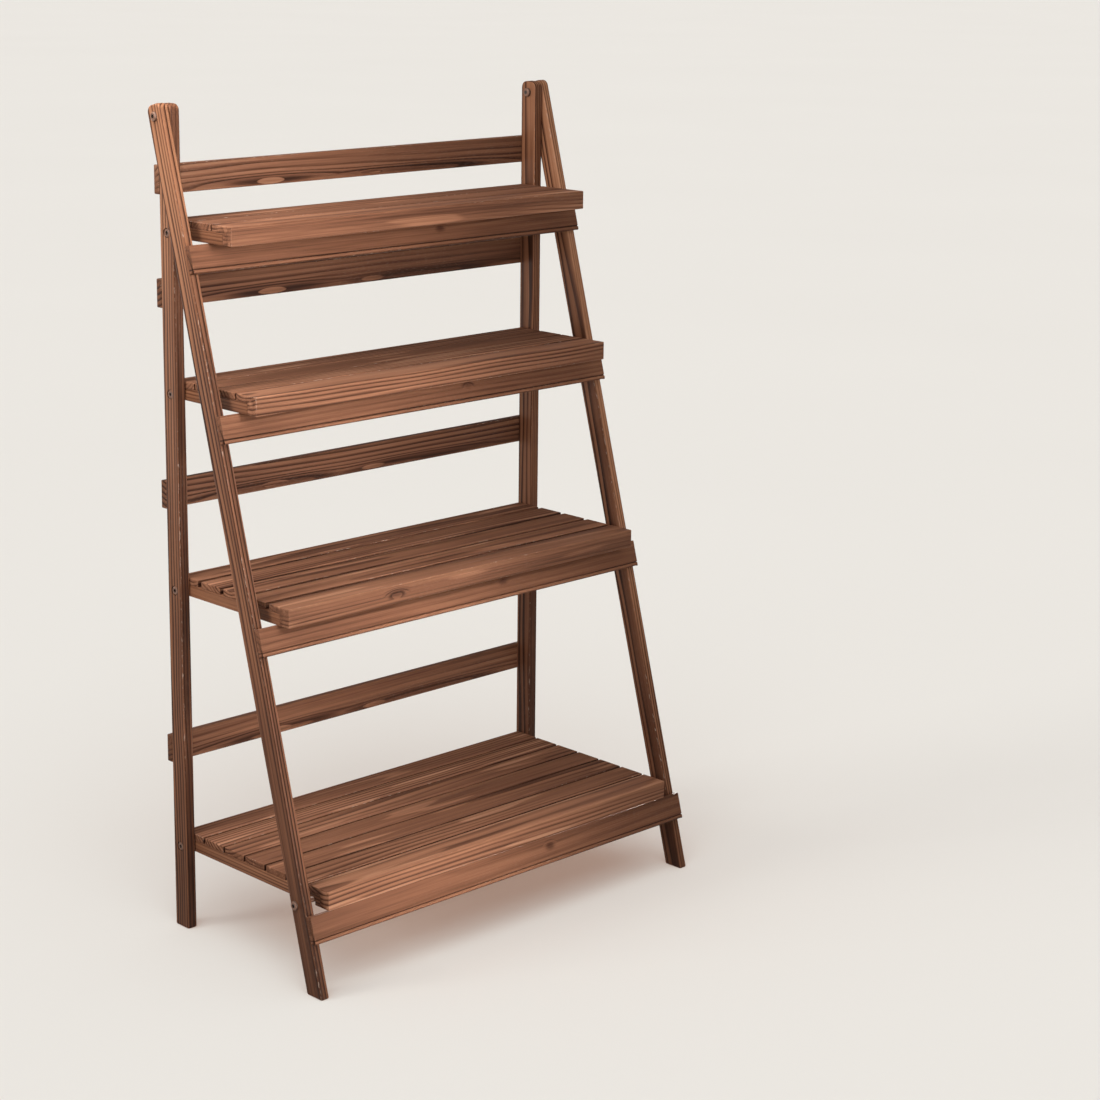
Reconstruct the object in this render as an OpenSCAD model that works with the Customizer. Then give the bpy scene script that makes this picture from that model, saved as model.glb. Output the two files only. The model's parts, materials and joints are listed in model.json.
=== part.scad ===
// Folding plant ladder stand: an upright rear frame, a leaning front frame
// hung from two bolts at the top, and four slatted shelves of growing depth.
// Each shelf turns on two bolts in the rear posts and rests on a front rail.
// Front is -Y, up is +Z, origin under the middle of the outline, millimetres.

/* [Overall size] */
// Width over the outer faces of the front legs
stand_w = 600; // [540:5:660]
// Height of the rear posts above the floor
stand_h = 974; // [966:1:1000]
// Lean of the front legs from upright, in degrees
lean = 15.3; // [15:0.1:15.6]

/* [Uprights] */
// Width of a rear post across the stand
post_t = 13; // [11:0.5:15]
// Width of a front leg across the stand
leg_t = 12; // [10:0.5:14]
// Depth of posts and legs, front to back
upright_d = 25; // [24:0.5:26]
// Distance from the top of a post down to the top bolt
top_drop = 13.5; // [12:0.5:16]
// Radius of the rounded top corners of posts and legs
top_r = 8; // [6:0.5:11.5]
// Running gap between a leg and a post
leg_gap = 0.5; // [0.3:0.1:1]

/* [Rails] */
// Height of the front rails
rail_h = 32; // [29:1:34]
// Height of the rear rails
rear_rail_h = 33; // [30:1:35]
// Thickness of the front rails
rail_t = 8; // [7:0.5:9]
// Thickness of the rear rails
rear_rail_t = 9; // [8:0.5:10]
// Underside of the top rear rail below the top of the posts
rear_rail_1_down = 102; // [95:1:110]
// Underside of the second rear rail below the top of the posts
rear_rail_2_down = 230.5; // [223.5:0.5:238.5]
// Underside of the third rear rail below the top of the posts
rear_rail_3_down = 464; // [454:1:474]
// Underside of the lowest rear rail above the top of the lowest shelf
rear_rail_4_up = 86.5; // [74:0.5:97]
// Height of the groove line above a front rail's lower edge
groove_up = 4; // [3:0.5:6]
// Width of the groove line
groove_w = 1.2; // [0.8:0.1:1.6]
// Depth of the groove line
groove_depth = 0.9; // [0.5:0.1:1.2]

/* [Shelves] */
// Top of the highest shelf below the top of the posts
shelf_1_down = 129; // [124:1:134]
// Top of the second shelf below the top of the posts
shelf_2_down = 313; // [307:1:319]
// Top of the third shelf below the top of the posts
shelf_3_down = 544; // [538:1:550]
// Top of the lowest shelf above the floor
shelf_4_top = 116.5; // [112:0.5:120]
// Depth of the highest shelf, front to back
shelf_1_d = 109.5; // [108.5:0.5:112]
// Depth of the second shelf
shelf_2_d = 149; // [146:0.5:152]
// Depth of the third shelf
shelf_3_d = 202; // [196:0.5:206]
// Depth of the lowest shelf
shelf_4_d = 267; // [264:0.5:270]
// Gap between the boards of the highest shelf
shelf_1_gap = 1.5; // [1:0.5:3]
// Gap between the boards of the second shelf
shelf_2_gap = 2; // [1:0.5:4]
// Gap between the boards of the third shelf
shelf_3_gap = 6; // [3:0.5:7]
// Gap between the boards of the lowest shelf
shelf_4_gap = 3; // [2:0.5:4]
// Thickness of a slat
slat_t = 8; // [7:0.5:9]
// Height of the bearers under the slats
bearer_h = 14; // [13:0.5:16]
// Width of the bearers across the stand
bearer_t = 14; // [12:0.5:18]
// Thickness of the lip that hangs from a front board
lip_t = 16; // [14:0.5:20]
// How far the shelves stay in front of the rear rails
back_gap = 4; // [3:0.5:6]
// Running gap between a shelf and a post
shelf_gap = 0.5; // [0.3:0.1:1]
// Small bevel on the long edges of the boards
edge_bevel = 0.8; // [0.4:0.1:1.2]

/* [Bolts] */
// Diameter of the pivot bolts
bolt_d = 6; // [5:0.5:7]
// Radial running clearance of a bolt in its holes
bolt_play = 0.05; // [0.03:0.01:0.08]
// Diameter of the bolt heads and cap nuts
head_d = 10.5; // [10:0.5:12]
// Height of the bolt heads
head_h = 3; // [2:0.5:4]
// Hexagon socket of the bolt heads, across the corners
socket_d = 4; // [3:0.5:4.5]
// Length of the flat cap nuts of the top bolts
top_nut_l = 4; // [3.5:0.5:6]
// Length of the cap nuts of the shelf bolts
nut_l = 7; // [6:0.5:9]
// Gap left between a cap nut and the wood that turns beside it
nut_gap = 0.3; // [0.2:0.1:0.6]
// Diameter of the catch bolts low in the front legs
catch_d = 5; // [4:0.5:5.5]
// How far the catch bolts sit behind the middle of a leg
catch_back = 4; // [2:0.5:5]
// Play around a catch bolt in the notch of the lowest shelf
catch_play = 0.3; // [0.3:0.1:0.6]

/* [Hidden] */
$fn = 64;
eps = 0.01;
half_d = upright_d / 2;
pivot_z = stand_h - top_drop;
// Lean of the front frame as sine, cosine and tangent
sl = sin(lean);
cl = cos(lean);
tl = tan(lean);
// The outline runs from the front feet to the backs of the rear rails
foot_front = half_d + pivot_z * tl + half_d / cl;
total_d = foot_front + rear_rail_t;
// Plane of the rear faces of the posts, and the line through their middle
rear_y = total_d / 2 - rear_rail_t;
mid_y = rear_y - half_d;
// Stations across the stand, all for the right-hand side
leg_in = stand_w / 2 - leg_t;
post_out = leg_in - leg_gap;
post_in = post_out - post_t;
shelf_out = post_in - shelf_gap;
bearer_in = shelf_out - bearer_t;
shelf_w = 2 * shelf_out;
shelf_t = slat_t + bearer_h;
bolt_r = bolt_d / 2;
hole_r = bolt_r + bolt_play;
head_r = head_d / 2;
catch_r = catch_d / 2;
// Flush heads sit this much below the wood, with this much room around them
sink = 0.2;
room = 0.4;
// Wall that closes the blind hole in a cap nut, and the bevel on its rim
nut_wall = 1.5;
shelf_1_top = stand_h - shelf_1_down;
shelf_2_top = stand_h - shelf_2_down;
shelf_3_top = stand_h - shelf_3_down;
shelf_tops = [shelf_1_top, shelf_2_top, shelf_3_top, shelf_4_top];
shelf_ds = [shelf_1_d, shelf_2_d, shelf_3_d, shelf_4_d];
gaps = [shelf_1_gap, shelf_2_gap, shelf_3_gap, shelf_4_gap];
boards = [3, 4, 5, 7];
rear_rail_1_z = stand_h - rear_rail_1_down;
rear_rail_2_z = stand_h - rear_rail_2_down;
rear_rail_3_z = stand_h - rear_rail_3_down;
rear_rail_4_z = shelf_4_top + rear_rail_4_up;
rear_rail_zs = [rear_rail_1_z, rear_rail_2_z, rear_rail_3_z, rear_rail_4_z];
back_y = rear_y - back_gap;
// Height of the bolt that a shelf turns on: the middle of its bearers
function turn_z(k) = shelf_tops[k] - slat_t - bearer_h / 2;
function front_y(k) = back_y - shelf_ds[k];
// The boards of a shelf share its depth equally, less the gaps between them
function slat_w(k) = (shelf_ds[k] - (boards[k] - 1) * gaps[k]) / boards[k];
function slat_y(k, i) = back_y - slat_w(k) - i * (slat_w(k) + gaps[k]);
// Distance from the top bolt down the leg to the top of a front rail, so that
// the rail's upper front edge carries the shelf above it
rail_reach = (half_d + rail_t) * sl;
function rail_s(k) = (pivot_z - shelf_tops[k] + shelf_t + rail_reach) / cl;
// Catch bolt: its height, and its distance down the leg
catch_z = turn_z(3) - 1;
catch_s = (pivot_z - catch_z - catch_back * sl) / cl;
catch_y = mid_y - catch_s * sl + catch_back * cl;

// ---- colours ----
module wood_dark() {
    color([0.36, 0.21, 0.14]) children();
}

module wood_light() {
    color([0.48, 0.29, 0.19]) children();
}

module bronze() {
    color([0.3, 0.19, 0.13]) children();
}

// ---- helpers ----
// A bar along X from a profile drawn as [y, z] points
module bar_x(w, points) {
    translate([-w / 2, 0, 0])
    rotate([90, 0, 90])
    linear_extrude(height = w)
    polygon(points);
}

// A round rod along X, from x0 to x1 at y, z
module rod_x(x0, x1, y, z, r) {
    translate([x0, y, z])
    rotate([0, 90, 0])
    cylinder(r = r, h = x1 - x0);
}

// Profile of an upright with a rounded top, hanging from the top bolt at 0, 0
module upright_profile(below) {
    square_top = top_drop - top_r;
    translate([-half_d, -below])
    square([upright_d, below + square_top]);
    translate([-(half_d - top_r), square_top - eps])
    square([2 * (half_d - top_r), top_r + eps]);
    translate([-(half_d - top_r), square_top])
    circle(r = top_r);
    translate([half_d - top_r, square_top])
    circle(r = top_r);
}

module upright(x0, t, below) {
    translate([x0, 0, 0])
    rotate([90, 0, 90])
    linear_extrude(height = t)
    upright_profile(below);
}

// ---- rear frame ----
// Right-hand rear post with the holes of its five bolts
module rear_post() {
    color([0.36, 0.21, 0.14])
    difference() {
        translate([0, mid_y, pivot_z])
        upright(post_in, post_t, pivot_z);
        rod_x(post_in - 1, post_out + 1, mid_y, pivot_z, hole_r);
        for (k = [0 : 3]) {
            rod_x(post_in - 1, post_out + 1, mid_y, turn_z(k), hole_r);
            rod_x(post_out - head_h - sink, post_out + 1, mid_y, turn_z(k), head_r + room);
        }
    }
}

module rear_post_left() {
    mirror([1, 0, 0]) rear_post();
}

module rear_post_right() {
    rear_post();
}

// A rear rail lies flat on the rear faces of both posts
module rear_rail(k) {
    b = edge_bevel;
    z0 = rear_rail_zs[k];
    z1 = z0 + rear_rail_h;
    y0 = rear_y;
    y1 = rear_y + rear_rail_t;
    wood_light()
    bar_x(2 * post_out, [[y0, z0], [y1 - b, z0], [y1, z0 + b],
        [y1, z1 - b], [y1 - b, z1], [y0, z1]]);
}

module rear_rail_1() {
    rear_rail(0);
}

module rear_rail_2() {
    rear_rail(1);
}

module rear_rail_3() {
    rear_rail(2);
}

module rear_rail_4() {
    rear_rail(3);
}

// ---- front frame ----
// Puts children drawn around the top bolt into the leaning front frame
module leaning() {
    translate([0, mid_y, pivot_z])
    rotate([-lean, 0, 0])
    children();
}

// Right-hand front leg, its foot cut level with the floor
module front_leg() {
    color([0.36, 0.21, 0.14])
    difference() {
        leaning()
        upright(leg_in, leg_t, pivot_z / cl + upright_d);
        translate([leg_in - 1, mid_y - pivot_z, -3 * upright_d])
        cube([leg_t + 2, 2 * pivot_z, 3 * upright_d]);
        rod_x(leg_in - 1, leg_in + leg_t + 1, mid_y, pivot_z, hole_r);
        rod_x(leg_in - 1, leg_in + leg_t + 1, catch_y, catch_z, catch_r + bolt_play);
    }
}

module front_leg_left() {
    mirror([1, 0, 0]) front_leg();
}

module front_leg_right() {
    front_leg();
}

// A front rail lies flat on the front faces of both legs
module front_rail(k) {
    b = edge_bevel;
    z1 = -rail_s(k);
    z0 = z1 - rail_h;
    y1 = -half_d;
    y0 = y1 - rail_t;
    g0 = z0 + groove_up;
    g1 = g0 + groove_w;
    gy = y0 + groove_depth;
    wood_light()
    leaning()
    bar_x(stand_w, [[y1, z0], [y1, z1], [y0, z1], [y0, g1], [gy, g1],
        [gy, g0], [y0, g0], [y0, z0 + b], [y0 + b, z0]]);
}

module front_rail_1() {
    front_rail(0);
}

module front_rail_2() {
    front_rail(1);
}

module front_rail_3() {
    front_rail(2);
}

module front_rail_4() {
    front_rail(3);
}

// ---- shelves ----
// Right-hand bearer of a shelf, bored for the bolt that the shelf turns on
module bearer(k) {
    y0 = front_y(k) + lip_t;
    z0 = shelf_tops[k] - shelf_t;
    wood_dark()
    difference() {
        translate([bearer_in, y0, z0])
        cube([bearer_t, back_y - y0, bearer_h]);
        rod_x(bearer_in - 1, shelf_out + 1, mid_y, turn_z(k), hole_r);
    }
}

// Side view of the notch that drops over a catch bolt. Its steep front side
// stops the legs from spreading. Its long ramp lets them fold back freely.
module catch_notch() {
    r = catch_r + catch_play;
    down = catch_z - shelf_4_top + shelf_t + 1;
    run = (down + r) / (0.84 * tl);
    translate([bearer_in - 1, 0, 0])
    rotate([90, 0, 90])
    linear_extrude(height = bearer_t + 2)
    translate([catch_y, catch_z])
    polygon([[-r, -down], [-r, r], [1, r], [1 + run, -down]]);
}

module bearer_notched() {
    wood_dark()
    difference() {
        bearer(3);
        catch_notch();
    }
}

// A plain slat lies across both bearers
module slat(k, i) {
    b = edge_bevel;
    y0 = slat_y(k, i);
    y1 = y0 + slat_w(k);
    z1 = shelf_tops[k];
    z0 = z1 - slat_t;
    wood_light()
    bar_x(shelf_w, [[y0, z0], [y1, z0], [y1, z1 - b], [y1 - b, z1],
        [y0 + b, z1], [y0, z1 - b]]);
}

// The front board covers the bearers' ends with a lip as deep as they are
module front_board(k) {
    b = edge_bevel;
    y0 = front_y(k);
    y1 = y0 + slat_w(k);
    yl = y0 + lip_t;
    z1 = shelf_tops[k];
    z0 = z1 - shelf_t;
    zs = z1 - slat_t;
    wood_light()
    bar_x(shelf_w, [[y0 + b, z0], [yl, z0], [yl, zs], [y1, zs],
        [y1, z1 - b], [y1 - b, z1], [y0 + b, z1], [y0, z1 - b], [y0, z0 + b]]);
}

module shelf_1_bearer_left() {
    mirror([1, 0, 0]) bearer(0);
}

module shelf_1_bearer_right() {
    bearer(0);
}

module shelf_1_slat_1() {
    slat(0, 0);
}

module shelf_1_slat_2() {
    slat(0, 1);
}

module shelf_1_front_board() {
    front_board(0);
}

module shelf_2_bearer_left() {
    mirror([1, 0, 0]) bearer(1);
}

module shelf_2_bearer_right() {
    bearer(1);
}

module shelf_2_slat_1() {
    slat(1, 0);
}

module shelf_2_slat_2() {
    slat(1, 1);
}

module shelf_2_slat_3() {
    slat(1, 2);
}

module shelf_2_front_board() {
    front_board(1);
}

module shelf_3_bearer_left() {
    mirror([1, 0, 0]) bearer(2);
}

module shelf_3_bearer_right() {
    bearer(2);
}

module shelf_3_slat_1() {
    slat(2, 0);
}

module shelf_3_slat_2() {
    slat(2, 1);
}

module shelf_3_slat_3() {
    slat(2, 2);
}

module shelf_3_slat_4() {
    slat(2, 3);
}

module shelf_3_front_board() {
    front_board(2);
}

module shelf_4_bearer_left() {
    mirror([1, 0, 0]) bearer_notched();
}

module shelf_4_bearer_right() {
    bearer_notched();
}

module shelf_4_slat_1() {
    slat(3, 0);
}

module shelf_4_slat_2() {
    slat(3, 1);
}

module shelf_4_slat_3() {
    slat(3, 2);
}

module shelf_4_slat_4() {
    slat(3, 3);
}

module shelf_4_slat_5() {
    slat(3, 4);
}

module shelf_4_slat_6() {
    slat(3, 5);
}

module shelf_4_front_board() {
    front_board(3);
}

// ---- bolts ----
// A bolt along X with its head outwards: x_seat is the underside of the head
module bolt(x_end, x_seat, r, y, z) {
    difference() {
        union() {
            rod_x(x_end, x_seat + eps, y, z, r);
            translate([x_seat, y, z])
            rotate([0, 90, 0])
            rotate_extrude()
            polygon([[0, 0], [head_r, 0], [head_r, head_h * 0.45],
                [head_r - head_h * 0.4, head_h], [0, head_h]]);
        }
        translate([x_seat + head_h * 0.4, y, z])
        rotate([0, 90, 0])
        cylinder(r = socket_d / 2, h = head_h, $fn = 6);
    }
}

// A cap nut along X with its open end outwards at x_open
module cap_nut(x_open, l, y, z) {
    difference() {
        translate([x_open, y, z])
        rotate([0, -90, 0])
        rotate_extrude()
        polygon([[0, 0], [head_r, 0], [head_r, l - nut_wall],
            [head_r - nut_wall, l], [0, l]]);
        rod_x(x_open - l + nut_wall, x_open + 1, y, z, hole_r);
    }
}

module both_sides() {
    children();
    mirror([1, 0, 0]) children();
}

module top_pivot_bolts() {
    bronze()
    both_sides()
    bolt(post_in - nut_gap - top_nut_l + nut_wall, stand_w / 2, bolt_r, mid_y, pivot_z);
}

module top_pivot_nuts() {
    bronze()
    both_sides()
    cap_nut(post_in - nut_gap, top_nut_l, mid_y, pivot_z);
}

module shelf_pivot_bolts() {
    x_end = bearer_in - nut_gap - nut_l + nut_wall;
    x_seat = post_out - head_h - sink;
    bronze()
    both_sides()
    for (k = [0 : 3]) {
        bolt(x_end, x_seat, bolt_r, mid_y, turn_z(k));
    }
}

module shelf_pivot_nuts() {
    bronze()
    both_sides()
    for (k = [0 : 3]) {
        cap_nut(bearer_in - nut_gap, nut_l, mid_y, turn_z(k));
    }
}

// The catch bolts reach from the legs into the notches of the lowest shelf
module catch_bolts() {
    bronze()
    both_sides()
    bolt(bearer_in + 2, stand_w / 2, catch_r, catch_y, catch_z);
}

rear_post_left();
rear_post_right();
rear_rail_1();
rear_rail_2();
rear_rail_3();
rear_rail_4();
front_leg_left();
front_leg_right();
front_rail_1();
front_rail_2();
front_rail_3();
front_rail_4();
shelf_1_bearer_left();
shelf_1_bearer_right();
shelf_1_slat_1();
shelf_1_slat_2();
shelf_1_front_board();
shelf_2_bearer_left();
shelf_2_bearer_right();
shelf_2_slat_1();
shelf_2_slat_2();
shelf_2_slat_3();
shelf_2_front_board();
shelf_3_bearer_left();
shelf_3_bearer_right();
shelf_3_slat_1();
shelf_3_slat_2();
shelf_3_slat_3();
shelf_3_slat_4();
shelf_3_front_board();
shelf_4_bearer_left();
shelf_4_bearer_right();
shelf_4_slat_1();
shelf_4_slat_2();
shelf_4_slat_3();
shelf_4_slat_4();
shelf_4_slat_5();
shelf_4_slat_6();
shelf_4_front_board();
top_pivot_bolts();
top_pivot_nuts();
shelf_pivot_bolts();
shelf_pivot_nuts();
catch_bolts();
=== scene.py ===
"""A folding four-tier plant ladder stand in brown-stained softwood, standing open."""
import json
import math

import bmesh
import bpy
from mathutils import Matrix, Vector


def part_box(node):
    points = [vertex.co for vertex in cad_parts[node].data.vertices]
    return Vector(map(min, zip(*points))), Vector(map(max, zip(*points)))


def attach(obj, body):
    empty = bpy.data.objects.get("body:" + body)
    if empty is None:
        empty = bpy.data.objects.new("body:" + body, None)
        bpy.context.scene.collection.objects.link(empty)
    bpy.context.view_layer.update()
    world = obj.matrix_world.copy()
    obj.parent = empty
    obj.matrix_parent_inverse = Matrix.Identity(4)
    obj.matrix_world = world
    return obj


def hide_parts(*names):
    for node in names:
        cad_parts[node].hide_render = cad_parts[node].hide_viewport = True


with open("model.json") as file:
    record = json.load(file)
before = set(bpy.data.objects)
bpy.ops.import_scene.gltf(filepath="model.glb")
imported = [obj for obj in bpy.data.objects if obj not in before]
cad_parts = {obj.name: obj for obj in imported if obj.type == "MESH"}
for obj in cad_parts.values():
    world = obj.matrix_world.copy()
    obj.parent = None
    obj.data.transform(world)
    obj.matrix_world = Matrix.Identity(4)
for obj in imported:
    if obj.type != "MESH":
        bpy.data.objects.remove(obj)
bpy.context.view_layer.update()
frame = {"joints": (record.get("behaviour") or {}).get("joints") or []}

# ---------------------------------------------------------------- camera
# The camera stands off the left front corner, above the top shelf, and looks down by
# 13 degrees. A small shift of its frame sets the stand to the left and holds its
# uprights nearly parallel.
LENS_MM, SENSOR_MM = 82.861, 36.0
SHIFT_X, SHIFT_Y = 0.06, -0.06
CLIP_NEAR, CLIP_FAR = 0.1, 400.0
CAMERA_PLACE = (-1.9597, -2.1772, 1.1948)
CAMERA_TURN_DEGREES = (77.020, -0.303, -43.104)
lens = bpy.data.cameras.new("lens")
lens.lens, lens.sensor_width = LENS_MM, SENSOR_MM
lens.shift_x, lens.shift_y = SHIFT_X, SHIFT_Y
lens.clip_start, lens.clip_end = CLIP_NEAR, CLIP_FAR
camera = bpy.data.objects.new("camera", lens)
camera.location = CAMERA_PLACE
camera.rotation_euler = [math.radians(angle) for angle in CAMERA_TURN_DEGREES]
bpy.context.scene.collection.objects.link(camera)
bpy.context.scene.camera = camera


# ---------------------------------------------------------------- studio
# A plain pale floor that reaches past the horizon and an even backdrop. Soft suns light
# the floor alone. A dim sky, one soft sun from above, a low one from behind right and
# panels near the front and the left light the wood.
class Wire:
    """One output socket of a node tree. Sums on it add Math nodes to the tree."""

    def __init__(self, tree, socket=None):
        self.tree, self.socket = tree, socket

    def node(self, kind, settings, sockets, out=0):
        """Adds a node, sets its settings and then its sockets, and returns one output."""
        made = self.tree.nodes.new(kind)
        for name, value in settings.items():
            if name == "stops":
                ramp = made.color_ramp
                while len(ramp.elements) < len(value):
                    ramp.elements.new(0.5)
                for stop, (place, colour) in zip(ramp.elements, value):
                    stop.position, stop.color = place, (*colour, 1.0)
            else:
                setattr(made, name, value)
        for name, value in sockets.items():
            if isinstance(value, Wire):
                self.tree.links.new(value.socket, made.inputs[name])
            else:
                made.inputs[name].default_value = value
        return Wire(self.tree, made.outputs[out] if made.outputs else None)

    def maths(self, operation, a, b=0.0):
        return self.node("ShaderNodeMath", {"operation": operation}, {0: a, 1: b})

    def __add__(self, other):
        return self.maths("ADD", self, other)

    def __sub__(self, other):
        return self.maths("SUBTRACT", self, other)

    def __mul__(self, other):
        return self.maths("MULTIPLY", self, other)

    def __truediv__(self, other):
        return self.maths("DIVIDE", self, other)

    def __rsub__(self, other):
        return self.maths("SUBTRACT", other, self)

    __radd__ = __add__
    __rmul__ = __mul__

    def rise(self, low, high, start=0.0, end=1.0):
        """A smooth step of this value from start at low to end at high."""
        return self.node("ShaderNodeMapRange", {"interpolation_type": "SMOOTHSTEP"},
                         {0: self, 1: low, 2: high, 3: start, 4: end})


def new_material(name):
    """An empty node material and a Wire to add its nodes with."""
    made = bpy.data.materials.new(name)
    made.use_nodes = True
    made.node_tree.nodes.clear()
    return made, Wire(made.node_tree)


def surface(pen, sockets):
    """Closes a material with its Principled shader."""
    shader = pen.node("ShaderNodeBsdfPrincipled", {}, sockets)
    pen.node("ShaderNodeOutputMaterial", {}, {"Surface": shader})


def blended(pen, share, low, high):
    """The colour that is low where the share is 0 and high where it is 1."""
    return pen.node("ShaderNodeMix", {"data_type": "RGBA"}, {0: share, 6: low, 7: high}, 2)


FLOOR_DARK, FLOOR_PALE = (0.815, 0.775, 0.725, 1.0), (0.835, 0.795, 0.745, 1.0)
FLOOR_MOTTLE_SCALE, FLOOR_ROUGHNESS, FLOOR_REACH = 0.7, 0.95, 150.0
floor_paint, pen = new_material("floor_paint")
where = pen.node("ShaderNodeTexCoord", {}, {}, "Object")
mottle = pen.node("ShaderNodeTexNoise", {}, {"Vector": where, "Scale": FLOOR_MOTTLE_SCALE},
                  "Fac")
surface(pen, {"Base Color": blended(pen, mottle, FLOOR_DARK, FLOOR_PALE),
              "Roughness": FLOOR_ROUGHNESS, "Specular IOR Level": 0.0})
sheet = bpy.data.meshes.new("floor")
sheet.from_pydata([(-FLOOR_REACH, -FLOOR_REACH, 0), (FLOOR_REACH, -FLOOR_REACH, 0),
                   (FLOOR_REACH, FLOOR_REACH, 0), (-FLOOR_REACH, FLOOR_REACH, 0)],
                  [], [(0, 1, 2, 3)])
sheet.materials.append(floor_paint)
floor = bpy.data.objects.new("floor", sheet)
bpy.context.scene.collection.objects.link(floor)

bpy.context.scene.view_settings.view_transform = "Standard"
floor.visible_diffuse = False
SKY_LIGHT, BACKDROP = (0.191, 0.183, 0.183, 1.0), (0.823, 0.791, 0.737, 1.0)
sky = bpy.data.worlds.new("sky")
sky.use_nodes = True
sky.node_tree.nodes.clear()
around = Wire(sky.node_tree)
lit = around.node("ShaderNodeBackground", {}, {"Color": SKY_LIGHT})
wall = around.node("ShaderNodeBackground", {}, {"Color": BACKDROP})
directly = around.node("ShaderNodeLightPath", {}, {}, "Is Camera Ray")
around.node("ShaderNodeOutputWorld", {},
            {"Surface": around.node("ShaderNodeMixShader", {}, {0: directly, 1: lit, 2: wall})})
bpy.context.scene.world = sky


def lit_by(lamp, place, target, link_state, shadows=True):
    """Puts a lamp at a place, turned to a target, and has it light the floor alone or
    everything but the floor."""
    group = bpy.data.collections.new(lamp.name)
    group.objects.link(floor)
    group.collection_objects[0].light_linking.link_state = link_state
    shown = bpy.data.objects.new(lamp.name, lamp)
    shown.location = place
    shown.rotation_euler = (Vector(target) - Vector(place)).to_track_quat("-Z", "Y").to_euler()
    shown.light_linking.receiver_collection = group
    if not shadows:
        shown.light_linking.blocker_collection = group
    bpy.context.scene.collection.objects.link(shown)


def sun(name, energy, colour, from_side, link_state, angle, shadows=True):
    """A sun as wide as the angle, in degrees, from one side of the origin."""
    lamp = bpy.data.lights.new(name, "SUN")
    lamp.energy, lamp.color, lamp.angle = energy, colour, math.radians(angle)
    lit_by(lamp, from_side, (0.0, 0.0, 0.0), link_state, shadows)


def panel(name, watts, size, place, target, spread):
    """A flat lamp of the studio, for everything but the floor."""
    lamp = bpy.data.lights.new(name, "AREA")
    lamp.shape, lamp.size, lamp.size_y, lamp.energy = "RECTANGLE", *size, watts
    lamp.spread = math.radians(spread)
    lit_by(lamp, place, target, "EXCLUDE")


sun("floor_glow", 1.28, (1.0, 0.695, 0.568), (0.0, 0.0, 4.0), "INCLUDE", 50.0, shadows=False)
sun("floor_side", 0.94, (0.39, 0.81, 1.0), (-1.6, -0.4, 4.0), "INCLUDE", 90.0)
sun("floor_corner", 0.84, (0.90, 0.99, 1.0), (-1.6, -1.6, 4.0), "INCLUDE", 50.0)
sun("floor_low_side", 0.92, (0.93, 1.0, 1.0), (-3.53, 1.29, 1.37), "INCLUDE", 25.0)
sun("from_above", 0.62, (1.0, 1.0, 1.0), (-0.3, -0.8, 4.0), "EXCLUDE", 60.0)
sun("from_behind", 1.3, (1.0, 0.95, 0.9), (1.6, 1.6, -0.32), "EXCLUDE", 10.0, shadows=False)
for name, watts, size, place, target, spread in (
        ("strip_middle", 0.55, (0.12, 1.8), (-0.35, -1.25, 0.50), (-0.30, 0.0, 0.48), 40.0),
        ("strip_right", 1.75, (0.12, 1.8), (-0.15, -1.25, 0.50), (-0.10, 0.0, 0.48), 60.0),
        ("front_right", 0.12, (0.3, 1.0), (0.75, -1.0, 0.5), (0.2, 0.0, 0.5), 170.0),
        ("high_front", 0.72, (0.12, 0.3), (-0.3, -0.8, 1.0), (-0.2, 0.0, 0.85), 60.0),
        ("high_corner", 0.72, (0.25, 0.25), (-0.75, -0.55, 1.25), (-0.15, 0.0, 0.85), 90.0),
        ("side_high", 4.4, (0.3, 0.3), (-1.0, 0.1, 1.35), (-0.3, 0.1, 0.8), 150.0),
        ("side_middle", 0.28, (0.3, 0.3), (-1.0, 0.0, 0.6), (-0.3, 0.05, 0.55), 80.0),
        ("side_low", 0.42, (0.3, 0.3), (-1.0, 0.0, 0.25), (-0.3, 0.0, 0.2), 80.0),
        ("top_left", 3.2, (0.3, 0.3), (-0.45, 0.1, 1.35), (-0.3, 0.1, 0.5), 170.0),
        ("behind", 2.4, (0.6, 0.4), (-0.4, 1.1, 0.5), (0.0, 0.1, 0.1), 170.0),
        ("middle_front", 0.20, (0.7, 0.1), (0.1, -0.8, 0.85), (0.1, 0.0, 0.43), 60.0),
        ("middle_left", 0.28, (0.3, 0.1), (-0.2, -0.6, 0.75), (-0.1, -0.03, 0.43), 50.0),
        ("low_left", 0.34, (0.3, 0.12), (-0.2, -0.7, 0.45), (-0.1, -0.08, 0.116), 50.0),
        ("lowest_left", 0.08, (0.12, 0.2), (-0.3, -0.8, 0.12), (-0.2, 0.0, 0.10), 60.0)):
    panel(name, watts, size, place, target, spread)


# ---------------------------------------------------------------- rear posts
# Two upright posts of 13 x 25 mm softwood, planed, with rounded tops and eased
# edges. Each is bored for the top bolt and has four recesses for flush heads.
def outline_prism(name, outline, x_low, x_high):
    """A solid between two planes across the stand, from an outline of (y, z) points."""
    made = bpy.data.meshes.new(name)
    n = len(outline)
    points = [(x, y, z) for x in (x_low, x_high) for y, z in outline]
    faces = [list(range(n)), list(range(2 * n - 1, n - 1, -1))]
    faces += [[i, i + n, (i + 1) % n + n, (i + 1) % n] for i in range(n)]
    made.from_pydata(points, [], faces)
    work = bmesh.new()
    work.from_mesh(made)
    bmesh.ops.recalc_face_normals(work, faces=work.faces)
    work.to_mesh(made)
    work.free()
    solid = bpy.data.objects.new(name, made)
    bpy.context.scene.collection.objects.link(solid)
    return solid


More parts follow.
